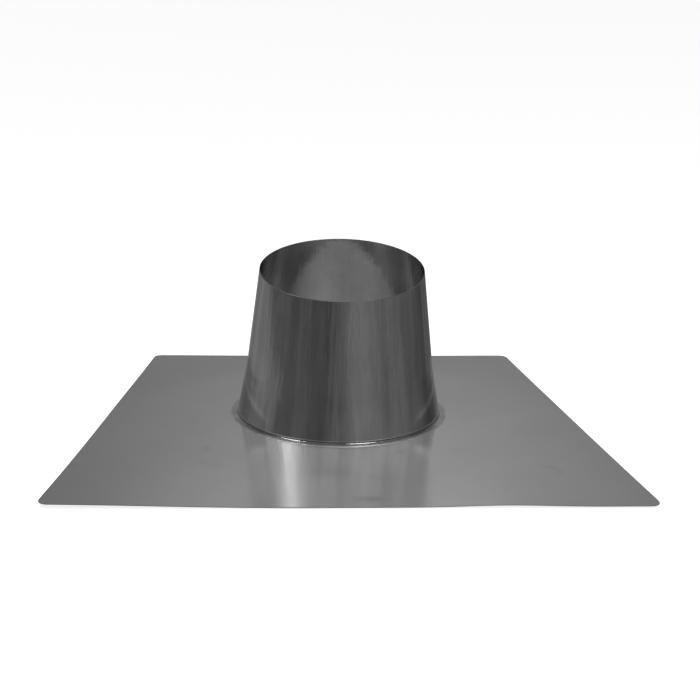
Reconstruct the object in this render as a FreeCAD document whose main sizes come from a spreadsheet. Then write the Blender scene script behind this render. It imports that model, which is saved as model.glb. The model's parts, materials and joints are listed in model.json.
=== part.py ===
"""Pitched-roof pipe flashing: a flat square plate of stainless sheet with a rolled, leaning cone on it.

Frame: +Z is up and away from the roof, -Y is the side that the cone leans to, the plate's underside
lies in z = 0 and the origin is in the middle of the plate. Lengths are in millimetres.
"""
import FreeCAD, Part
import math
import os

import Sketcher
from FreeCAD import Placement, Rotation, Vector

DRIVING_SIZES = {
    # the plate
    "plate_side": 600,       # length of each side of the square sheet
    "plate_sheet": 0.8,      # thickness of the sheet
    "plate_corner": 12,      # radius of the four corners
    # the cone
    "cone_sheet": 0.8,       # thickness of the rolled sheet
    "lean": 15,              # degrees between the cone's axis and the plate's normal
    "upper_taper": 8.4,      # degrees between the upper wall and the cone's axis
    "lower_taper": 12,       # degrees between the lower, wider wall and the cone's axis
    "rim_radius": 99.5,      # outside radius at the rim
    "rim_reach": 204.5,      # from the plate's top to the rim's centre, along the axis
    "upper_reach": 132,      # part of rim_reach above the crease between the two tapers
    "crease_radius": 60,     # radius in which one taper runs into the other
    # the foot, turned out flat on the plate
    "foot_bend": 1.5,        # radius of the visible bend between wall and flange
    "flange_width": 8,       # flange beyond the wall's outside, square to the wall
    "opening_margin": 0.6,   # gap between the plate's opening and the line of the cone's inside
}

LEVEL_TOLERANCE = 0.01       # how close two levels are when they count as one
CUT_ALLOWANCE = 5            # how far a cutting shape runs past what it cuts

doc = FreeCAD.newDocument("pipe_flashing")


def make_sheet():
    """The spreadsheet that holds every driving dimension under its own alias."""
    sheet = doc.addObject("Spreadsheet::Sheet", "sizes")
    for row, (name, value) in enumerate(DRIVING_SIZES.items(), start=1):
        sheet.set(f"A{row}", name)
        sheet.set(f"B{row}", str(value))
        sheet.setAlias(f"B{row}", name)
    doc.recompute()
    return sheet


sizes = make_sheet()


def bind(thing, expressions):
    """Bind properties of an object to expressions of the sheet."""
    for path, expression in expressions.items():
        thing.setExpression(path, expression)


def add_dimension(sketch, name, constraint, expression):
    """Add a named constraint to a sketch and bind its value to an expression."""
    index = sketch.addConstraint(constraint)
    sketch.renameConstraint(index, name)
    sketch.setExpression(f"Constraints.{name}", expression)


# The cone's wall, as a profile turned round a leaning axis

def draw_profile(sketch):
    """Draw the wall's profile at its nominal sizes: an upper taper, the soft crease and a wider taper.

    The sketch's x is the distance from the axis and its y the distance along it. The crease's centre
    lies outside the wall, where the two tapers' offsets meet.
    """
    upper = math.radians(sizes.upper_taper)
    lower = math.radians(sizes.lower_taper)
    corner_radius = sizes.rim_radius + sizes.upper_reach * math.tan(upper)
    corner_level = sizes.rim_reach - sizes.upper_reach
    middle = (upper + lower) / 2
    to_centre = sizes.crease_radius / math.cos((lower - upper) / 2)
    centre = Vector(corner_radius + to_centre * math.cos(middle),
                    corner_level + to_centre * math.sin(middle), 0)
    low_level = -sizes.rim_radius
    low_radius = corner_radius + (corner_level - low_level) * math.tan(lower)

    def on_crease(taper):
        """The point of the crease where the wall has this taper."""
        return centre - Vector(math.cos(taper), math.sin(taper), 0) * sizes.crease_radius

    rim = Vector(sizes.rim_radius, sizes.rim_reach, 0)
    low = Vector(low_radius, low_level, 0)
    crease = Part.Circle(centre, Vector(0, 0, 1), sizes.crease_radius)
    sketch.addGeometry(Part.LineSegment(Vector(0, rim.y, 0), rim))
    sketch.addGeometry(Part.LineSegment(rim, on_crease(upper)))
    sketch.addGeometry(Part.ArcOfCircle(crease, math.pi + upper, math.pi + lower))
    sketch.addGeometry(Part.LineSegment(on_crease(lower), low))
    sketch.addGeometry(Part.LineSegment(low, Vector(0, low.y, 0)))
    sketch.addGeometry(Part.LineSegment(Vector(0, low.y, 0), Vector(0, rim.y, 0)))


def constrain_profile(sketch, offset, past_rim):
    """Tie the profile together and bind its sizes.

    offset moves the whole wall outwards, square to itself, and past_rim carries the upper wall on
    beyond the rim. Both are expressions.
    """
    top, upper_wall, crease, lower_wall, floor, axis = range(6)
    start, end = 1, 2
    origin, vertical_axis = -1, -2
    upper = "sizes.upper_taper * 1 deg"
    lower = "sizes.lower_taper * 1 deg"
    half_crease = f"sizes.crease_radius * tan(({lower} - {upper}) / 2)"
    relation = Sketcher.Constraint
    sketch.addConstraint([
        relation("Coincident", top, end, upper_wall, start),
        relation("Tangent", upper_wall, end, crease, start),
        relation("Tangent", crease, end, lower_wall, start),
        relation("Coincident", lower_wall, end, floor, start),
        relation("Coincident", floor, end, axis, start),
        relation("Coincident", axis, end, top, start),
        relation("PointOnObject", top, start, vertical_axis),
        relation("Horizontal", top),
        relation("Horizontal", floor),
        relation("Vertical", axis),
    ])

    def measure(name, kind, curve, point, expression):
        """A distance from the sketch's origin to the end of a curve."""
        place = sketch.getPoint(curve, point)
        value = place.x if kind == "DistanceX" else place.y
        add_dimension(sketch, name, relation(kind, origin, start, curve, point, value), expression)

    measure("rim_level", "DistanceY", top, end, f"sizes.rim_reach + {past_rim}")
    measure("rim_radius", "DistanceX", top, end,
            f"sizes.rim_radius + {offset} / cos({upper}) - {past_rim} * tan({upper})")
    measure("crease_top_level", "DistanceY", upper_wall, end,
            f"sizes.rim_reach - sizes.upper_reach + {half_crease} * cos({upper}) + {offset} * sin({upper})")
    measure("crease_top_radius", "DistanceX", upper_wall, end,
            f"sizes.rim_radius + sizes.upper_reach * tan({upper}) - {half_crease} * sin({upper})"
            f" + {offset} * cos({upper})")
    measure("crease_foot_level", "DistanceY", lower_wall, start,
            f"sizes.rim_reach - sizes.upper_reach - {half_crease} * cos({lower}) + {offset} * sin({lower})")
    measure("low_level", "DistanceY", floor, end, "-sizes.rim_radius")
    add_dimension(sketch, "crease_radius", relation("Radius", crease, sizes.crease_radius),
                  f"sizes.crease_radius - {offset}")


def leaning_bell(name, offset, past_rim="0"):
    """A solid bell: all that lies inside the cone's outside surface, moved outwards by the offset.

    It reaches well below the plate. Its profile stands upright in the XZ plane, and the turned solid
    then leans towards -Y about the middle of the plate's top.
    """
    profile = doc.addObject("Sketcher::SketchObject", name + "_profile")
    profile.Placement = Placement(Vector(0, 0, 0), Rotation(Vector(1, 0, 0), 90))
    draw_profile(profile)
    constrain_profile(profile, offset, past_rim)

    solid = doc.addObject("Part::Revolution", name)
    solid.Source = profile
    solid.Axis = Vector(0, 0, 1)
    solid.Solid = True
    solid.Placement = Placement(Vector(0, 0, 0), Rotation(Vector(1, 0, 0), sizes.lean))
    bind(solid, {
        "Placement.Base.z": "sizes.plate_sheet",
        "Placement.Rotation.Angle": "sizes.lean",
    })
    return solid


# Blocks, booleans and bends

def square_block(name, side, bottom, height):
    """A square block centred over the plate's middle; its sizes are expressions."""
    block = doc.addObject("Part::Box", name)
    bind(block, {
        "Length": side,
        "Width": side,
        "Height": height,
        "Placement.Base.x": f"-({side}) / 2",
        "Placement.Base.y": f"-({side}) / 2",
        "Placement.Base.z": bottom,
    })
    return block


def combine(kind, name, base, tool):
    """A boolean of two objects: kind is Cut, Common or Fuse."""
    result = doc.addObject("Part::" + kind, name)
    result.Base = base
    result.Tool = tool
    return result


def inner_curve(shape, level):
    """Numbers of the edges that make the shortest closed curve lying flat at one level."""
    flat = {
        number: edge for number, edge in enumerate(shape.Edges, start=1)
        if abs(edge.BoundBox.ZMin - level) < LEVEL_TOLERANCE
        and abs(edge.BoundBox.ZMax - level) < LEVEL_TOLERANCE
    }
    loops = Part.sortEdges(list(flat.values()))
    shortest = min(loops, key=lambda loop: sum(edge.Length for edge in loop))
    return [number for number, edge in flat.items() if any(edge.isSame(part) for part in shortest)]


def upright_edges(shape):
    """Numbers of the straight edges that stand square to the plate."""
    return [
        number for number, edge in enumerate(shape.Edges, start=1)
        if isinstance(edge.Curve, Part.Line) and abs(edge.Curve.Direction.z) > 0.99
    ]


def round_edges(name, base, find_edges, radius):
    """Round the edges of the base that a function picks from its shape."""
    doc.recompute()
    rounded = doc.addObject("Part::Fillet", name)
    rounded.Base = base
    rounded.Edges = [(number, radius, radius) for number in find_edges(base.Shape)]
    return rounded


# The two pieces

def make_base_plate():
    """The square sheet with rounded corners and an opening in line with the cone's inside."""
    blank = square_block("plate_blank", "sizes.plate_side", "0", "sizes.plate_sheet")
    rounded = round_edges("plate_outline", blank, upright_edges, sizes.plate_corner)

    inside = leaning_bell("opening_bell", "(sizes.opening_margin - sizes.cone_sheet)")
    top_plane = doc.addObject("Part::Plane", "plate_top_plane")
    bind(top_plane, {
        "Length": "sizes.plate_side",
        "Width": "sizes.plate_side",
        "Placement.Base.x": "-sizes.plate_side / 2",
        "Placement.Base.y": "-sizes.plate_side / 2",
        "Placement.Base.z": "sizes.plate_sheet",
    })
    outline = combine("Section", "opening_outline", inside, top_plane)

    opening = doc.addObject("Part::Extrusion", "opening")
    opening.Base = outline
    opening.DirMode = "Custom"
    opening.Dir = Vector(0, 0, -1)
    opening.LengthRev = CUT_ALLOWANCE
    opening.Solid = True
    bind(opening, {"LengthFwd": f"sizes.plate_sheet + {CUT_ALLOWANCE}"})
    return combine("Cut", "base_plate", rounded, opening)


def make_cone():
    """The rolled wall and the flange that its foot is turned out into.

    The solid wall and the flange are joined, the visible bend is rounded, the inside is cut away and
    its lower edge is rounded about the same centre line, so the sheet is equally thick in the bend.
    """
    reach = "2 * (sizes.rim_radius + sizes.rim_reach)"
    above_plate = square_block("space_above_plate", reach, "sizes.plate_sheet", reach)
    flange_layer = square_block("flange_layer", reach, "sizes.plate_sheet", "sizes.cone_sheet")

    wall = combine("Common", "wall", leaning_bell("outside_bell", "0"), above_plate)
    flange = combine("Common", "flange", leaning_bell("flange_bell", "sizes.flange_width"), flange_layer)
    blank = combine("Fuse", "wall_and_flange", wall, flange)

    flange_top = sizes.plate_sheet + sizes.cone_sheet
    bent = round_edges("outer_bend", blank, lambda shape: inner_curve(shape, flange_top),
                       sizes.foot_bend)
    inside = leaning_bell("inside_bell", "(-sizes.cone_sheet)", str(CUT_ALLOWANCE))
    hollow = combine("Cut", "hollow_wall", bent, inside)
    return round_edges("cone", hollow, lambda shape: inner_curve(shape, sizes.plate_sheet),
                       sizes.foot_bend + sizes.cone_sheet)


def check_document():
    """Stop at any object that failed to recompute, or that has an empty or a bad shape."""
    for item in doc.Objects:
        if "Invalid" in item.State or "Error" in item.State:
            raise RuntimeError(f"{item.Label} failed: {item.State}")
        shape = getattr(item, "Shape", None)
        if shape is not None and (shape.isNull() or not shape.isValid()):
            raise RuntimeError(f"{item.Label} has no valid shape")


def main():
    """Build both pieces, check them and write one file for each."""
    pieces = [make_base_plate(), make_cone()]
    doc.recompute()
    check_document()
    os.makedirs("parts", exist_ok=True)
    for piece in pieces:
        if len(piece.Shape.Solids) != 1:
            raise RuntimeError(f"{piece.Label} is not one solid")
        piece.Shape.exportStep(f"parts/{piece.Label}.step")
        box = piece.Shape.BoundBox
        print(f"{piece.Label}: {piece.Shape.Volume:.1f} mm3, z {box.ZMin:.2f} to {box.ZMax:.2f}")


main()
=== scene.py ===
"""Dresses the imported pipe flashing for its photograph.

Both pieces are bright stainless sheet, so most of the picture is reflection. The two meshes carry the
slight unevenness of real sheet. They mirror a dim surround and soft panels, each of which lights only
the cone or only the plate. All lengths are in metres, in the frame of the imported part: the plate lies on
z = 0 and the cone leans to -Y.
"""
import json
import math

import bpy
import numpy as np
from mathutils import Matrix, Vector


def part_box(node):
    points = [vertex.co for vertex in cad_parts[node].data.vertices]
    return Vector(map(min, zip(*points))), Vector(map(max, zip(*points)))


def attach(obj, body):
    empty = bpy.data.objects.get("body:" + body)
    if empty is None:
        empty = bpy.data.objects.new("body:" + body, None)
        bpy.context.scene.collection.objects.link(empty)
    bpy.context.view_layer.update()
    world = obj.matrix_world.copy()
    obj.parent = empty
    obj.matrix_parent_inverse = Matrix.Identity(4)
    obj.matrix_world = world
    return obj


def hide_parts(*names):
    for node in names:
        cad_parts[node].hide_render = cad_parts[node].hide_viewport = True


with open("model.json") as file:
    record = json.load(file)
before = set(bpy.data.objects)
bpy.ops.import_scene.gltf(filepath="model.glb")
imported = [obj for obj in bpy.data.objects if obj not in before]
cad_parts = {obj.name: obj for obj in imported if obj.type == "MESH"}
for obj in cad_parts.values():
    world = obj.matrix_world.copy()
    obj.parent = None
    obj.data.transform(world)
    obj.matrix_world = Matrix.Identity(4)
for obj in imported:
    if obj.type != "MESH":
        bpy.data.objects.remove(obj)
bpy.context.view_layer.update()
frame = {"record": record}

MM = 0.001

# Sizes taken from the frame
plate_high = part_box("base_plate")[1]
PASSAGE = next(m for m in frame["record"]["mounts"] if m["name"] == "pipe_passage")
PLATE_HALF = plate_high.x
PLATE_SHEET = plate_high.z
RIM_CENTRE = Vector(PASSAGE["pos_m"])
AXIS = Vector(PASSAGE["axis"]).normalized()
FOOT_CENTRE = Vector((0, 0, PLATE_SHEET))
RIM_REACH = (RIM_CENTRE - FOOT_CENTRE).length
LEAN = math.atan2(-AXIS.y, AXIS.z)

# Sizes of the sheets that the frame doesn't state
PLATE_CORNER = 12 * MM
CONE_SHEET = 0.8 * MM
RIM_RADIUS = 99.5 * MM
UPPER_TAPER = math.radians(8.4)
LOWER_TAPER = math.radians(12)
UPPER_REACH = 132 * MM
CREASE_RADIUS = 60 * MM
FOOT_BEND = 1.5 * MM
FLANGE_WIDTH = 8 * MM
OPENING_INSET = 0.2 * MM      # from the wall's outer face in to the edge of the plate's opening
EDGE_ROUND = 0.12 * MM        # rounding of the cut edges
EDGE_BESIDE = 0.4 * MM        # from a cut edge to the ring beside it that holds the face flat
FLANGE_FEATHER = 1.7 * MM     # width over which the flange's outer edge runs out
SEAM_AZIMUTH = math.radians(64)
SEAM_HALF_WIDTH = 0.008       # in radians round the cone

# Where the lines of the two tapers would meet: distance from the axis, and reach along it
CORNER_RADIUS = RIM_RADIUS + UPPER_REACH * math.tan(UPPER_TAPER)
CORNER_REACH = RIM_REACH - UPPER_REACH

# Dullness of the cone's steel and painted shade on it, from 0 for bright to 1 for nearly black
RIM_DULLNESS = 0.92
RIM_INSIDE_DULLNESS = 0.3
FLANGE_DULLNESS = 0.2
FEATHER_DULLNESS = 0.1
# Painted shade at the foot: the wall's lowest rings, each (height above the bend, darkness), darker
# towards the bend
FOOT_PAINTED_SHADE = ((2.4 * MM, 0.0), (1.5 * MM, 0.25), (0.8 * MM, 0.55), (0.4 * MM, 0.85))

# Ripples of the cone's wall: their heights, how many there are round it, and how they change along it
RIPPLE_SEED = 11
UPRIGHT_RIPPLE = 0.016 * MM
UPRIGHT_ORDERS = range(5, 34)
TWISTING_RIPPLE = 0.012 * MM
TWISTING_ORDERS = range(4, 16)
RIPPLE_TWIST = 0.35
RIPPLE_SWINGS = 1.3

# How the thin plate lifts off the floor
LEFT_CURL = 4.2 * MM
RIGHT_CURL = 1.3 * MM
BACK_CURL = 0.8 * MM
FRONT_CURL_DEPTH = 110 * MM
BACK_CURL_DEPTH = 120 * MM
FRONT_WAVE = 2.3 * MM         # a wave in the front edge, to the right of the middle
FRONT_WAVE_PLACE = 150 * MM
FRONT_WAVE_WIDTH = 60 * MM
SAG = 0.25 * MM
SAG_ACROSS = 52 * MM          # length of a radian of the broad waves, across the plate and along it
SAG_ALONG = 61 * MM


# The cone's wall as a formula

def wall_radius(reach, offset):
    """Distance of the wall from its axis, at a reach along the axis, moved outwards by an offset."""
    middle = (UPPER_TAPER + LOWER_TAPER) / 2
    to_centre = CREASE_RADIUS / math.cos((LOWER_TAPER - UPPER_TAPER) / 2)
    centre_radius = CORNER_RADIUS + to_centre * math.cos(middle)
    centre_reach = CORNER_REACH + to_centre * math.sin(middle)
    crease = CREASE_RADIUS - offset
    upper = RIM_RADIUS + offset / math.cos(UPPER_TAPER) + (RIM_REACH - reach) * math.tan(UPPER_TAPER)
    lower = (CORNER_RADIUS + offset / math.cos(LOWER_TAPER)
             + (CORNER_REACH - reach) * math.tan(LOWER_TAPER))
    arc = centre_radius - np.sqrt(np.maximum(crease ** 2 - (reach - centre_reach) ** 2, 0))
    crease_top = centre_reach - crease * math.sin(UPPER_TAPER)
    crease_foot = centre_reach - crease * math.sin(LOWER_TAPER)
    return np.where(reach > crease_top, upper, np.where(reach < crease_foot, lower, arc))


def outward(azimuth):
    """Unit vectors square to the cone's axis. Azimuth 0 is the front, -Y, and it grows towards +X."""
    front = np.array((0, -math.cos(LEAN), -math.sin(LEAN)))
    side = np.array((1, 0, 0))
    return np.sin(azimuth)[..., None] * side + np.cos(azimuth)[..., None] * front


def wall_points(azimuth, reach, offset):
    """Points of the wall, at an azimuth round the axis and a reach along it."""
    radius = wall_radius(reach, offset)
    return (np.array(FOOT_CENTRE) + reach[..., None] * np.array(AXIS)
            + radius[..., None] * outward(azimuth))


def reach_at_level(azimuth, level, offset):
    """Reach along the axis at which the lower wall passes a level of z."""
    full = CORNER_RADIUS + offset / math.cos(LOWER_TAPER) + CORNER_REACH * math.tan(LOWER_TAPER)
    tilt = np.cos(azimuth) * math.sin(LEAN)
    return ((level - PLATE_SHEET + full * tilt)
            / (math.cos(LEAN) + math.tan(LOWER_TAPER) * tilt))


# Slight unevenness of the sheets

def ripples(value, rng, orders, amplitude):
    """A sum of waves round a full turn, weaker the shorter they are."""
    total = np.zeros_like(value)
    for order in orders:
        phase = rng.uniform(0, 2 * math.pi)
        total += rng.normal() * (orders[0] / order) * np.sin(order * value + phase)
    return amplitude * total


def smooth(value, low, high):
    """0 below low, 1 above high, and a soft step between."""
    t = np.clip((value - low) / (high - low), 0, 1)
    return t * t * (3 - 2 * t)


def cone_unevenness(azimuth, reach):
    """How far the wall stands proud of its true surface. It is nothing at the rim and the foot."""
    rng = np.random.default_rng(RIPPLE_SEED)
    along = reach / RIM_REACH
    upright = ripples(azimuth, rng, UPRIGHT_ORDERS, UPRIGHT_RIPPLE)
    twisting = ripples(azimuth + RIPPLE_TWIST * along, rng, TWISTING_ORDERS, TWISTING_RIPPLE)
    twisting = twisting * np.sin(math.pi * along * RIPPLE_SWINGS)
    fade = smooth(along, 0.0, 0.2) * smooth(along, 1.0, 0.93)
    return (upright + twisting) * fade


def plate_lift(x, y):
    """How far the thin sheet stands off the floor: it curls up at its corners and sags between them.

    Round the cone it lies flat.
    """
    near_front = np.exp(-(y + PLATE_HALF) / FRONT_CURL_DEPTH)
    near_back = np.exp(-(PLATE_HALF - y) / BACK_CURL_DEPTH)
    left = LEFT_CURL * smooth(-x, 30 * MM, 340 * MM)
    right = RIGHT_CURL * smooth(x, 100 * MM, 300 * MM)
    wave = FRONT_WAVE * np.exp(-((x - FRONT_WAVE_PLACE) / FRONT_WAVE_WIDTH) ** 2)
    back = BACK_CURL * smooth(np.abs(x), 100 * MM, 300 * MM)
    broad = SAG * (1 + np.sin(x / SAG_ACROSS + 0.7) * np.cos(y / SAG_ALONG - 0.4))
    off_cone = smooth(np.hypot(x, y), 170 * MM, 260 * MM)
    return off_cone * (near_front * (left + (wave + right)) + near_back * back + broad)


# Meshes from rows of points

def mesh_from_rings(name, rings, closed, marks=None):
    """An object whose rings of points, all alike in number, are joined into quads.

    closed joins the last ring to the first one. The points' own order makes the faces look outwards.
    marks gives each ring a value under each name, which a material can read.
    """
    rows, count = len(rings), len(rings[0])
    points = np.concatenate(rings)
    ring_index = np.arange(rows if closed else rows - 1)
    around = np.arange(count)
    here = ring_index[:, None] * count
    there = ((ring_index + 1) % rows)[:, None] * count
    beside = (around + 1) % count
    faces = np.stack([here + around, here + beside, there + beside, there + around], -1).reshape(-1, 4)
    mesh = bpy.data.meshes.new(name)
    mesh.from_pydata(points.tolist(), [], faces.tolist())
    mesh.validate()
    mesh.polygons.foreach_set("use_smooth", [True] * len(mesh.polygons))
    for mark, values in (marks or {}).items():
        attribute = mesh.attributes.new(mark, "FLOAT", "POINT")
        attribute.data.foreach_set("value", np.repeat(values, count).astype(np.float32))
    mesh.update()
    piece = bpy.data.objects.new(name, mesh)
    bpy.context.scene.collection.objects.link(piece)
    return piece


# The cone

def cone_rings(count=720, outer_rows=52, inner_rows=34, bend_rows=12):
    """Rings of the cone's closed section, from the rim down the outside and up the inside.

    With them come marks for each ring: its share in the inside, in the flange and in the foot's bend, and
    the dullness of its steel, with painted shade at the foot.
    """
    azimuth = np.linspace(0, 2 * math.pi, count, endpoint=False)
    up = np.array((0, 0, 1.0))
    flange_top = PLATE_SHEET + CONE_SHEET

    radial = outward(azimuth)
    normal = math.cos(LOWER_TAPER) * radial + math.sin(LOWER_TAPER) * np.array(AXIS)
    across = normal * (1, 1, 0)
    across_length = np.linalg.norm(across, axis=1)[:, None]
    across = across / across_length
    rise = normal[:, 2:3]
    angle = np.arccos(-rise)
    tangent = FOOT_BEND / np.tan(angle / 2)
    foot = wall_points(azimuth, reach_at_level(azimuth, flange_top, 0.0), 0.0)
    centre = foot + tangent * across + FOOT_BEND * up

    def bend(radius, part):
        """Ring of the bend: part 0 is on the flange and 1 on the wall."""
        turn = part * (math.pi - angle)
        return centre - radius * (np.cos(turn) * up + np.sin(turn) * across)

    def wall_ring(part, offset, reach_low, top=RIM_REACH - EDGE_BESIDE):
        """Ring of the wall: part 0 is just under the rim and 1 at its lowest reach."""
        reach = top + part * (reach_low - top)
        uneven = cone_unevenness(azimuth, reach)
        slope = np.where(reach > CORNER_REACH, UPPER_TAPER, LOWER_TAPER)
        facing = np.cos(slope)[:, None] * radial + np.sin(slope)[:, None] * np.array(AXIS)
        return wall_points(azimuth, reach, offset) + uneven[:, None] * facing

    outer_low = (bend(FOOT_BEND, 1.0) - np.array(FOOT_CENTRE)) @ np.array(AXIS)
    inner_low = (bend(FOOT_BEND + CONE_SHEET, 1.0) - np.array(FOOT_CENTRE)) @ np.array(AXIS)

    flange = FLANGE_WIDTH / across_length
    edge_top = foot + flange * across
    edge_low = edge_top - CONE_SHEET * (up + (-rise / across_length) * across)

    rings = []
    marks = {"inside": [], "flange": [], "bend": [], "dull_and_shaded": []}

    def add(ring, on_inside=0.0, on_flange=0.0, on_bend=0.0, dullness_and_shade=0.0):
        rings.append(ring)
        for name, value in zip(marks, (on_inside, on_flange, on_bend, dullness_and_shade)):
            marks[name].append(value)

    # Outside: the wall from the rim down, with painted shade that darkens it close to the foot
    add(wall_ring(0, 0.0, outer_low, RIM_REACH - EDGE_ROUND), dullness_and_shade=RIM_DULLNESS)
    for part in np.linspace(0, 1, outer_rows)[:-1]:
        add(wall_ring(part, 0.0, outer_low))
    for above, dullness_and_shade in FOOT_PAINTED_SHADE:
        add(wall_ring(1, 0.0, outer_low + above), dullness_and_shade=dullness_and_shade)

    # The foot's bend, bright on the flange's side and with painted shade on the wall's side
    for part in np.linspace(1, 0, bend_rows):
        bend_shade = float(smooth(part, 0.55, 0.72))
        add(bend(FOOT_BEND, part), on_flange=float(smooth(part, 0.3, 0.0)),
            on_bend=float(smooth(part, 0.1, 0.3)), dullness_and_shade=FLANGE_DULLNESS + (1 - FLANGE_DULLNESS) * bend_shade)

    # The flange, whose outer edge runs out in a quarter of an ellipse
    flange_start = bend(FOOT_BEND, 0.0)
    for part in (0.2, 0.45):
        add(flange_start + part * (edge_top - flange_start), on_flange=1.0, dullness_and_shade=FLANGE_DULLNESS)
    feather_start = edge_low - FLANGE_FEATHER * across
    add(feather_start + CONE_SHEET * up - EDGE_BESIDE * across, on_flange=1.0, dullness_and_shade=FLANGE_DULLNESS)
    for turn in np.radians([0, 15, 30, 45, 60, 72, 81, 87, 90]):
        add(feather_start + FLANGE_FEATHER * math.sin(turn) * across + CONE_SHEET * math.cos(turn) * up,
            on_flange=1.0, dullness_and_shade=FEATHER_DULLNESS)

    # The underside, and the inside up to the rim
    add(edge_low - EDGE_BESIDE * across)
    under_start = bend(FOOT_BEND + CONE_SHEET, 0.0)
    add(under_start + 0.5 * (edge_low - under_start))
    for part in np.linspace(0, 1, bend_rows):
        add(bend(FOOT_BEND + CONE_SHEET, part), on_inside=1.0)
    for part in np.linspace(1, 0, inner_rows)[1:]:
        add(wall_ring(part, -CONE_SHEET, inner_low), on_inside=1.0)
    add(wall_ring(0, -CONE_SHEET, inner_low, RIM_REACH - EDGE_ROUND), on_inside=1.0,
        dullness_and_shade=RIM_INSIDE_DULLNESS)
    rim_reach = np.full(count, RIM_REACH)
    add(wall_points(azimuth, rim_reach, -CONE_SHEET + EDGE_ROUND), on_inside=0.5, dullness_and_shade=RIM_DULLNESS)
    add(wall_points(azimuth, rim_reach, -EDGE_ROUND), dullness_and_shade=RIM_DULLNESS)
    return rings, marks


def make_cone(material):
    """The cone: wall, soft crease, foot bend and flange in one sheet."""
    rings, marks = cone_rings()
    piece = mesh_from_rings("flashing_cone", rings, closed=True, marks=marks)
    piece.data.materials.append(material)
    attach(piece, "root")
    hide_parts("cone")
    return piece


# The plate

def square_outline(angles, half, corner):
    """Points of a square with rounded corners, seen from the middle at these angles."""
    direction = np.stack([np.sin(angles), -np.cos(angles)], -1)
    to_side = half / np.abs(direction).max(axis=1)
    point = direction * to_side[:, None]
    inner = half - corner
    past = np.abs(point) > inner
    in_corner = past.all(axis=1)
    centre = np.sign(direction) * inner
    along = (direction * centre).sum(axis=1)
    to_arc = along + np.sqrt(np.maximum(along ** 2 - (centre ** 2).sum(axis=1) + corner ** 2, 0))
    return np.where(in_corner[:, None], direction * to_arc[:, None], point)


def plate_angles(count, extra, corner_margin=1.15):
    """Angles round the plate, closer together at its four corners. Equal ones are merged."""
    even = np.linspace(0, 2 * math.pi, count, endpoint=False)
    spread = corner_margin * PLATE_CORNER / PLATE_HALF
    corners = [math.pi / 4 + quarter * math.pi / 2 for quarter in range(4)]
    close = [corner + np.linspace(-spread, spread, extra) / 2 for corner in corners]
    return np.unique(np.concatenate([even, *close]).round(9))


def plate_rings(count=600, extra=20, rows=58, crowding=1.15, underside_step=3):
    """Rings of the plate's closed section, from the opening over the top and back underneath.

    crowding above 1 draws the rings together near the opening. The underside has one ring for every
    underside_step of the top.
    """
    azimuth = plate_angles(count, extra)
    reach = reach_at_level(azimuth, PLATE_SHEET, -OPENING_INSET)
    hole = wall_points(azimuth, reach, -OPENING_INSET)[:, :2]
    toward = np.arctan2(hole[:, 0], -hole[:, 1])
    rim = square_outline(toward, PLATE_HALF, PLATE_CORNER)

    def ring(part, inset, level):
        """Part 0 is the opening and 1 the outer edge. inset draws the ring in, level is its height."""
        flat = hole + part * (rim - hole)
        away = (rim - hole) / np.linalg.norm(rim - hole, axis=1)[:, None]
        flat = flat - inset * away
        lift = plate_lift(flat[:, 0], flat[:, 1])
        return np.column_stack([flat, lift + level])

    parts = np.linspace(0, 1, rows) ** crowding
    rings = [ring(part, 0, PLATE_SHEET) for part in parts[:-1]]
    rings += [ring(1, EDGE_BESIDE, PLATE_SHEET), ring(1, EDGE_ROUND, PLATE_SHEET)]
    rings += [ring(1, 0, PLATE_SHEET - EDGE_ROUND), ring(1, 0, EDGE_ROUND)]
    rings += [ring(1, EDGE_ROUND, 0), ring(1, EDGE_BESIDE, 0)]
    rings += [ring(part, 0, 0) for part in parts[-2::-underside_step]]
    rings += [ring(0, 0, 0)]
    return rings


def make_plate(material):
    """The square sheet with its opening."""
    piece = mesh_from_rings("flashing_plate", plate_rings(), closed=True)
    piece.data.materials.append(material)
    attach(piece, "root")
    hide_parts("base_plate")
    return piece


# Materials

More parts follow.
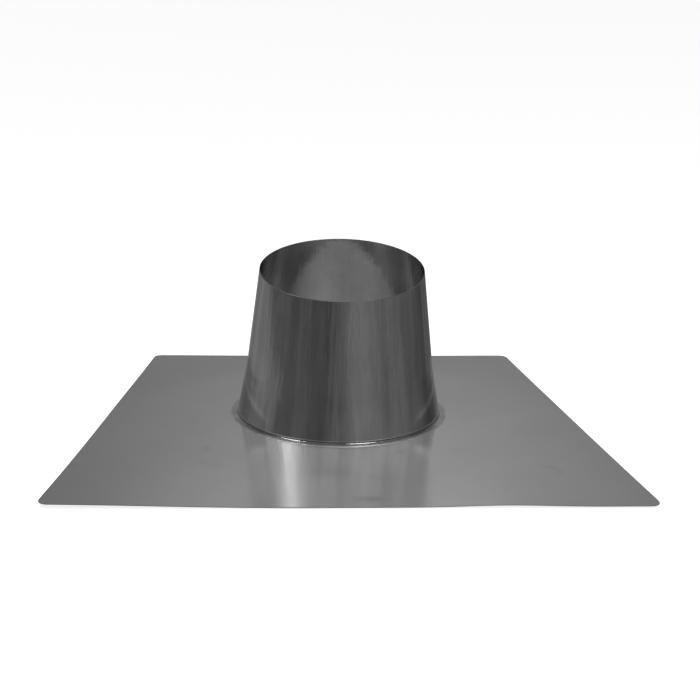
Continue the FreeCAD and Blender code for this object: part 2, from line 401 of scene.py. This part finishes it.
class Nodes:
    """Short ways to add and join the nodes of one node tree."""

    def __init__(self, tree):
        self.tree = tree

    def add(self, kind, inputs=None, **settings):
        """Add a node. inputs maps a socket's name or number to a value or to another node's output."""
        node = self.tree.nodes.new(kind)
        for name, value in settings.items():
            setattr(node, name, value)
        for name, value in (inputs or {}).items():
            if isinstance(value, bpy.types.NodeSocket):
                self.tree.links.new(value, node.inputs[name])
            else:
                node.inputs[name].default_value = value
        return node

    def mark(self, name):
        """A value that the mesh's rings carry."""
        return self.add("ShaderNodeAttribute", attribute_name=name).outputs["Fac"]

    def split(self, vector):
        """The three parts of a vector."""
        return self.add("ShaderNodeSeparateXYZ", {0: vector}).outputs

    def math(self, operation, first, second=0.0, third=0.0):
        """One arithmetic step."""
        node = self.add("ShaderNodeMath", {0: first, 1: second, 2: third}, operation=operation)
        return node.outputs[0]

    def times(self, first, second):
        """The product of two values."""
        return self.math("MULTIPLY", first, second)

    def plus(self, base, value, amount):
        """A base with an amount of the value added."""
        return self.math("MULTIPLY_ADD", value, amount, third=base)

    def changed(self, value, share, amount):
        """The value as it is where share is 0, and times 1 + amount where share is 1."""
        return self.times(value, self.plus(1.0, share, amount))

    def between(self, value, low, high):
        """0 below low, 1 above high, and a soft step between."""
        return self.add("ShaderNodeMapRange", {"Value": value, "From Min": low, "From Max": high},
                        interpolation_type="SMOOTHSTEP").outputs[0]

    def patches(self, value, base, bells):
        """A base level with soft bells on it, each a (middle, width, strength)."""
        total = base
        for middle, width, strength in bells:
            scaled = self.times(self.math("SUBTRACT", value, middle), 1 / width)
            squared = self.times(scaled, scaled)
            bell = self.math("EXPONENT", self.times(squared, -1.0))
            total = self.plus(total, bell, strength)
        return total

    def blend(self, share, first, second):
        """The first value where share is 0 and the second one where it is 1."""
        return self.plus(first, self.math("SUBTRACT", second, first), share)

    def ramp(self, factor, stops):
        """A smooth grey ramp from (place, grey) stops."""
        node = self.add("ShaderNodeValToRGB", {0: factor})
        ramp = node.color_ramp
        ramp.interpolation = "B_SPLINE"
        while len(ramp.elements) < len(stops):
            ramp.elements.new(0.5)
        for element, (place, grey) in zip(ramp.elements, stops):
            element.position = place
            element.color = (grey, grey, grey, 1)
        return node.outputs[0]

    def noise(self, place, scale, detail=3.0, roughness=0.5):
        """Plain noise between 0 and 1."""
        return self.add("ShaderNodeTexNoise", {"Vector": place, "Scale": scale, "Detail": detail,
                                               "Roughness": roughness}).outputs[0]


def blank_material(name):
    """A material with an empty node tree and a wired Principled shader."""
    material = bpy.data.materials.new(name)
    material.use_nodes = True
    tree = material.node_tree
    tree.nodes.clear()
    nodes = Nodes(tree)
    shader = nodes.add("ShaderNodeBsdfPrincipled")
    output = nodes.add("ShaderNodeOutputMaterial")
    tree.links.new(shader.outputs[0], output.inputs[0])
    return material, nodes, shader


# Greys are the steel's base colour, roughness is from 0 for a mirror to 1 for matt
PLATE_GREY = 0.525
PLATE_ROUGHNESS = 0.14
CONE_GREY = 0.36
CONE_ROUGHNESS = 0.05
# Grey of the dull rim, and of the painted shade at the foot
DULL_AND_SHADE_GREY = 0.07

# Faint marks of handling on the plate in front of the cone, each (X, Y, width, depth, strength)
HANDLING_MARKS = [(0.020, -0.281, 0.013, 0.006, 0.12), (-0.013, -0.215, 0.022, 0.024, 0.07)]

# A painted reflection of the plate's edge on the cone: a light line where its wall meets a plane that
# rises from the front to the back
REFLECTED_EDGE_HEIGHT = 71.5 * MM
REFLECTED_EDGE_SLOPE = 0.55
REFLECTED_EDGE_WIDTH = 5.5 * MM


def plate_material():
    """Bright cold-rolled stainless sheet, softly mirroring, with faint handling smudges."""
    material, nodes, shader = blank_material("stainless_plate")
    place = nodes.add("ShaderNodeTexCoord").outputs["Object"]
    shader.inputs["Metallic"].default_value = 1.0

    cloudy = nodes.noise(place, scale=7.0, detail=4.0, roughness=0.55)
    smudges = nodes.between(nodes.noise(place, scale=17.0, detail=5.0, roughness=0.6), 0.60, 0.70)
    grey = nodes.plus(PLATE_GREY, cloudy, 0.10)
    grey = nodes.plus(grey, smudges, -0.035)
    across, along, _ = nodes.split(place)
    broken = nodes.plus(-0.2, cloudy, -1.6)
    for x, y, width, depth, strength in HANDLING_MARKS:
        handled = nodes.times(nodes.patches(across, 0.0, [(x, width, strength)]),
                              nodes.patches(along, 0.0, [(y, depth, 1.0)]))
        grey = nodes.plus(grey, handled, broken)
    nodes.tree.links.new(grey, shader.inputs["Base Color"])

    grain = nodes.noise(place, scale=24.0, detail=4.0, roughness=0.6)
    roughness = nodes.plus(PLATE_ROUGHNESS, grain, 0.07)
    roughness = nodes.plus(roughness, smudges, 0.06)
    nodes.tree.links.new(roughness, shader.inputs["Roughness"])
    return material


def cone_material():
    """The same sheet, rolled: mirroring, with streaks along the wall and a duller inside."""
    material, nodes, shader = blank_material("stainless_cone")
    place = nodes.add("ShaderNodeTexCoord").outputs["Object"]
    shader.inputs["Metallic"].default_value = 1.0
    inside, flange, bend, dull_and_shaded = (nodes.mark(name) for name in ("inside", "flange", "bend", "dull_and_shaded"))
    _, north, up = nodes.split(place)

    # Place on the wall: azimuth round the leaning axis, and the reach along it
    turned = nodes.add("ShaderNodeVectorRotate", {
        "Vector": place, "Center": FOOT_CENTRE, "Axis": (1, 0, 0), "Angle": -LEAN,
    }, rotation_type="AXIS_ANGLE").outputs[0]
    side, depth, reach = nodes.split(turned)
    azimuth = nodes.math("ARCTAN2", side, nodes.times(depth, -1.0))
    round_wall = nodes.add("ShaderNodeCombineXYZ", {
        0: nodes.math("SINE", azimuth), 1: nodes.math("COSINE", azimuth), 2: nodes.times(reach, 0.9),
    }).outputs[0]

    # Streaks along the wall, which give way to clouds inside
    streaks = nodes.noise(round_wall, scale=7.0, detail=4.0, roughness=0.6)
    clouds = nodes.noise(place, scale=15.0, detail=4.0, roughness=0.55)
    streaks = nodes.blend(nodes.times(inside, 0.75), streaks, clouds)
    fine = nodes.noise(round_wall, scale=26.0, detail=3.0, roughness=0.6)
    blotches = nodes.noise(place, scale=22.0, detail=4.0, roughness=0.55)
    grey = nodes.plus(CONE_GREY, nodes.between(streaks, 0.30, 0.70), 0.14)
    grey = nodes.plus(grey, fine, 0.06)
    grey = nodes.plus(grey, blotches, 0.16)

    # The welded seam, as a thin paler line
    from_seam = nodes.math("SUBTRACT", azimuth, SEAM_AZIMUTH)
    grey = nodes.patches(from_seam, grey, [(0, SEAM_HALF_WIDTH, 0.10)])

    # The painted reflection of the plate's edge shows at both sides, stronger on the right, and the wall
    # below it is painted darker as the plate's reflection
    from_front = nodes.math("ABSOLUTE", azimuth)
    at_sides = nodes.times(nodes.between(from_front, 0.70, 0.95), nodes.between(from_front, 2.1, 1.6))
    above_reflected_edge = nodes.math("SUBTRACT", up, nodes.plus(REFLECTED_EDGE_HEIGHT, north, REFLECTED_EDGE_SLOPE))
    mark = nodes.times(nodes.patches(above_reflected_edge, 0.0, [(0, REFLECTED_EDGE_WIDTH, 0.13)]), at_sides)
    mark = nodes.changed(mark, nodes.between(side, 20 * MM, 70 * MM), 1.3)
    grey = nodes.math("ADD", grey, mark)
    below_reflected_edge = nodes.times(nodes.between(above_reflected_edge, 1 * MM, -8 * MM), at_sides)
    grey = nodes.changed(grey, below_reflected_edge, -0.22)

    # Inside, the left is more stained than the right
    stained = nodes.times(nodes.between(side, -15 * MM, -75 * MM), inside)
    grey = nodes.changed(grey, stained, -0.36)

    # The rim's cut face is dull, and the foot carries painted shade, more of it on the bend at the sides
    painted_bend_shade = nodes.times(bend, nodes.between(from_front, 0.45, 0.75))
    dullness_and_shade = nodes.math("MAXIMUM", dull_and_shaded, nodes.times(painted_bend_shade, 0.85))
    grey = nodes.blend(dullness_and_shade, grey, DULL_AND_SHADE_GREY)
    nodes.tree.links.new(grey, shader.inputs["Base Color"])

    roughness = nodes.plus(CONE_ROUGHNESS, streaks, 0.10)
    roughness = nodes.plus(roughness, inside, 0.03)
    roughness = nodes.plus(roughness, flange, 0.34)
    nodes.tree.links.new(roughness, shader.inputs["Roughness"])

    # Slight waves of the surface, nearly none on the flange
    waves = nodes.plus(streaks, fine, 0.2)
    strength = nodes.plus(1.0, flange, -0.9)
    bump = nodes.add("ShaderNodeBump", {"Height": waves, "Strength": strength, "Distance": 0.8 * MM})
    nodes.tree.links.new(bump.outputs[0], shader.inputs["Normal"])
    return material


# The studio

CAMERA_PLACE = Vector((-0.0444, -0.9696, 0.3160))
CAMERA_YAW = math.radians(0.907)
CAMERA_DIP = math.radians(13.505)
CAMERA_ROLL = math.radians(0.301)
CAMERA_FOCAL_PX = 761.73
PICTURE_SIDE_PX = 700
PICTURE_MIDDLE_PX = 316.78
SENSOR_MM = 36

# The floor is level round the part, and sweeps up into a wall all round
FLOOR_REACH = 3.0
SWEEP_RADIUS = 2.0
WALL_TOP = 7.0
FLOOR_DROP = 0.6 * MM
FLOOR_GREY = 0.4
FLOOR_GLOW = 0.82


def make_camera():
    """The camera at the photograph's viewpoint, from a fit to the plate's corners, rim and foot."""
    data = bpy.data.cameras.new("camera")
    data.sensor_width = SENSOR_MM
    data.lens = CAMERA_FOCAL_PX / PICTURE_SIDE_PX * SENSOR_MM
    data.shift_x = 0.5 - PICTURE_MIDDLE_PX / PICTURE_SIDE_PX
    camera = bpy.data.objects.new("camera", data)
    bpy.context.scene.collection.objects.link(camera)
    forward = Vector((math.sin(CAMERA_YAW) * math.cos(CAMERA_DIP),
                      math.cos(CAMERA_YAW) * math.cos(CAMERA_DIP), -math.sin(CAMERA_DIP)))
    right = Vector((math.cos(CAMERA_YAW), -math.sin(CAMERA_YAW), 0))
    up = right.cross(forward)
    rolled_right = math.cos(CAMERA_ROLL) * right + math.sin(CAMERA_ROLL) * up
    rolled_up = math.cos(CAMERA_ROLL) * up - math.sin(CAMERA_ROLL) * right
    turn = Matrix((rolled_right, rolled_up, -forward)).transposed()
    camera.matrix_world = Matrix.Translation(CAMERA_PLACE) @ turn.to_4x4()
    bpy.context.scene.camera = camera


def make_floor(count=96, sweep_rows=14):
    """A pale floor that sweeps up into a pale wall all round. The steel doesn't mirror it."""
    profile = [(FLOOR_REACH, 0.0)]
    profile += [(FLOOR_REACH + SWEEP_RADIUS * math.sin(angle), SWEEP_RADIUS * (1 - math.cos(angle)))
                for angle in np.linspace(0.1, math.pi / 2, sweep_rows)]
    profile += [(FLOOR_REACH + SWEEP_RADIUS, WALL_TOP)]
    turn = np.linspace(0, 2 * math.pi, count, endpoint=False)
    rings = [np.column_stack([radius * np.cos(turn), radius * np.sin(turn),
                              np.full_like(turn, height - FLOOR_DROP)]) for radius, height in profile]
    centre = rings[0] * (0, 0, 1)
    floor = mesh_from_rings("studio_floor", [centre, *rings], closed=False)
    material, _, shader = blank_material("pale_floor")
    shader.inputs["Base Color"].default_value = (FLOOR_GREY, FLOOR_GREY, FLOOR_GREY, 1)
    shader.inputs["Roughness"].default_value = 0.9
    shader.inputs["Specular IOR Level"].default_value = 0.0
    shader.inputs["Emission Color"].default_value = (1, 1, 1, 1)
    shader.inputs["Emission Strength"].default_value = FLOOR_GLOW
    floor.data.materials.append(material)
    floor.visible_glossy = False
    floor.visible_diffuse = False
    floor.visible_shadow = False


# What the steel mirrors, by direction in degrees. The turn is measured from the front, -Y, and for what is
# behind the part from the back, +Y. Both grow towards +X. Height is above the horizon. A patch is a
# (turn, width, change).
GENERAL_GREYS = [
    (-90, 0.20), (-59.4, 0.20), (-54, 0.27), (-45, 0.26), (-34.2, 0.12), (-3.6, 0.12),
    (9, 0.21), (18, 0.27), (36, 0.27), (54, 0.30), (90, 0.34),
]
ROOM_GREY = 0.115
ROOM_PATCHES = [(26, 27, 0.11), (75, 16, 0.06), (-26, 14, -0.04), (125, 25, -0.02)]
ROOM_UNEVENNESS = 0.17
ROOM_GRAIN = 12
SIDE_WALL = 0.13
PALER_BELOW = (75, 50, 0.28)
GLOW_BEHIND = (6, 19, 0.28)
DARKER_BACK = (-26, 15, -0.2)
DARK_SIDE = (128, 20, -0.6)


def room_in_front(nodes, turn, height):
    """Uprights of a room, light and dark, and a slanted side wall to the left."""
    room = nodes.patches(turn, ROOM_GREY, ROOM_PATCHES)
    upright = nodes.add("ShaderNodeCombineXYZ", {0: nodes.times(turn, 1 / ROOM_GRAIN)}).outputs[0]
    uneven = nodes.math("SUBTRACT", nodes.noise(upright, scale=1.0, detail=2.0), 0.5)
    room = nodes.plus(room, uneven, ROOM_UNEVENNESS)
    lower = nodes.math("ADD", nodes.math("MINIMUM", height, -8.0), 10.0)
    slanted = nodes.plus(turn, lower, 2.6)
    room = nodes.plus(room, nodes.between(slanted, -107, -119), SIDE_WALL)
    return nodes.changed(room, nodes.between(height, 15, 20), 0.67)


def make_world():
    """The dim surround that the steel mirrors, as soft patches of light by direction."""
    world = bpy.data.worlds.new("surround")
    world.use_nodes = True
    tree = world.node_tree
    tree.nodes.clear()
    nodes = Nodes(tree)
    direction = nodes.add("ShaderNodeTexCoord").outputs["Generated"]
    east, north, up = nodes.split(direction)
    south = nodes.times(north, -1.0)
    height = nodes.times(nodes.math("ARCSINE", up), 180 / math.pi)
    turn = nodes.times(nodes.math("ARCTAN2", east, south), 180 / math.pi)
    back_turn = nodes.times(nodes.math("ARCTAN2", east, north), 180 / math.pi)

    # All round, from the dark below the horizon to the paler ceiling
    stops = [(degrees / 180 + 0.5, grey) for degrees, grey in GENERAL_GREYS]
    general = nodes.ramp(nodes.plus(0.5, height, 1 / 180), stops)

    # The room takes its place in a low band all round, and in a high one in front
    low = nodes.between(height, 4, -1)
    high = nodes.times(nodes.between(height, 14, 18), nodes.between(height, 55, 38))
    high = nodes.times(high, nodes.between(south, -0.35, 0.1))
    room_share = nodes.times(nodes.math("MAXIMUM", low, high), nodes.between(height, -48, -34))
    radiance = nodes.blend(room_share, general, room_in_front(nodes, turn, height))

    # Below, a paler stretch that only the right of the inside shows
    paler = nodes.times(nodes.patches(turn, 0.0, [PALER_BELOW]), nodes.between(height, -54, -58))
    radiance = nodes.math("ADD", radiance, paler)

    # The glow behind the part, which the plate shows
    glow = nodes.times(nodes.patches(back_turn, 0.0, [GLOW_BEHIND]), nodes.between(height, 11, 26))
    radiance = nodes.math("ADD", radiance, glow)

    # Darker to the left of the back, and more so to the right of it
    radiance = nodes.times(radiance, nodes.patches(back_turn, 1.0, [DARKER_BACK]))
    band = nodes.times(nodes.between(height, 1, 5), nodes.between(height, 48, 34))
    dark_side = nodes.times(nodes.patches(turn, 0.0, [DARK_SIDE]), band)
    radiance = nodes.changed(radiance, dark_side, 1.0)

    background = nodes.add("ShaderNodeBackground", {0: radiance, 1: 1.0})
    output = nodes.add("ShaderNodeOutputWorld")
    tree.links.new(background.outputs[0], output.inputs[0])
    bpy.context.scene.world = world


def area_light(name, place, facing, width, tall, radiance):
    """A soft rectangular light of an even radiance that faces against the given direction."""
    data = bpy.data.lights.new(name, "AREA")
    data.shape = "RECTANGLE"
    data.size = width
    data.size_y = tall
    data.energy = radiance * math.pi * width * tall
    light = bpy.data.objects.new(name, data)
    bpy.context.scene.collection.objects.link(light)
    light.location = place
    light.rotation_mode = "QUATERNION"
    light.rotation_quaternion = facing.to_track_quat("Z", "Y")
    light.visible_camera = False
    return light


# Soft panels round the part that light one piece only, each (turn, spread, lowest, highest, distance,
# radiance): degrees round the part from the front, degrees above the horizon, and metres. The cone's
# brighten its image in the plate, and the plate's brighten its image in the side of the cone. Each panel
# of the bright strip lies behind the one before, because two at the same distance hide one another.
LOWEST, HIGHEST = 3, 32
AROUND = [(-114, 0.42), (-69, 0.42), (-24, 0.42), (21, 0.40), (66, 0.40), (111, 0.42)]
STRIP = [(-61, 7, 2.2, 0.60), (-61, 14, 2.3, 0.20), (-61, 22, 2.4, 0.20), (-61, 32, 2.5, 0.19),
         (-61, 44, 2.6, 0.13), (-60, 60, 2.7, 0.09), (-58, 80, 2.8, 0.05)]
CONE_PANELS = [(turn, 45, LOWEST, HIGHEST, 3.0, radiance) for turn, radiance in AROUND]
CONE_PANELS += [(turn, spread, LOWEST, HIGHEST, distance, radiance)
                for turn, spread, distance, radiance in STRIP]
CONE_PANELS += [
    (30, 34, 42, 62, 2.0, 7.0), (-72, 24, 42, 62, 2.0, 6.0),
    (-152, 32, LOWEST, HIGHEST, 3.0, 0.25), (149, 32, LOWEST, HIGHEST, 3.0, 0.25),
    (8, 110, 2, 15.4, 3.3, 0.08),
]
PLATE_PANELS = [(-101, 44, 5, 36, 3.0, 0.11)]

# The big soft light for the floor
OVERHEAD_PLACE = Vector((0.3, -0.6, 2.6))
OVERHEAD_FACING = Vector((0.1, -0.2, 1))
OVERHEAD_SIDE = 3.0
OVERHEAD_RADIANCE = 3.4


def make_panels(name, panels, lit):
    """Upright soft panels whose light only the pieces in lit receive."""
    for turn, spread, lowest, highest, distance, radiance in panels:
        angle = math.radians(turn)
        facing = Vector((math.sin(angle), -math.cos(angle), 0))
        bottom, top = (distance * math.tan(math.radians(height)) for height in (lowest, highest))
        width = 2 * distance * math.tan(math.radians(spread) / 2)
        place = facing * distance + Vector((0, 0, (bottom + top) / 2))
        panel = area_light(f"{name}_{turn}_{spread}", place, facing, width, top - bottom, radiance)
        panel.light_linking.receiver_collection = lit


def make_lights(cone, plate):
    """A big soft light overhead for the floor, and the panels."""
    overhead = area_light("overhead_softbox", OVERHEAD_PLACE, OVERHEAD_FACING,
                          OVERHEAD_SIDE, OVERHEAD_SIDE, OVERHEAD_RADIANCE)
    overhead.visible_glossy = False
    for name, panels, piece in [("cone_panel", CONE_PANELS, cone), ("plate_panel", PLATE_PANELS, plate)]:
        lit = bpy.data.collections.new(name + "_light")
        lit.objects.link(piece)
        make_panels(name, panels, lit)


make_camera()
make_world()
make_floor()
flashing_plate = make_plate(plate_material())
flashing_cone = make_cone(cone_material())
make_lights(flashing_cone, flashing_plate)

bpy.context.scene.view_settings.view_transform = "Standard"
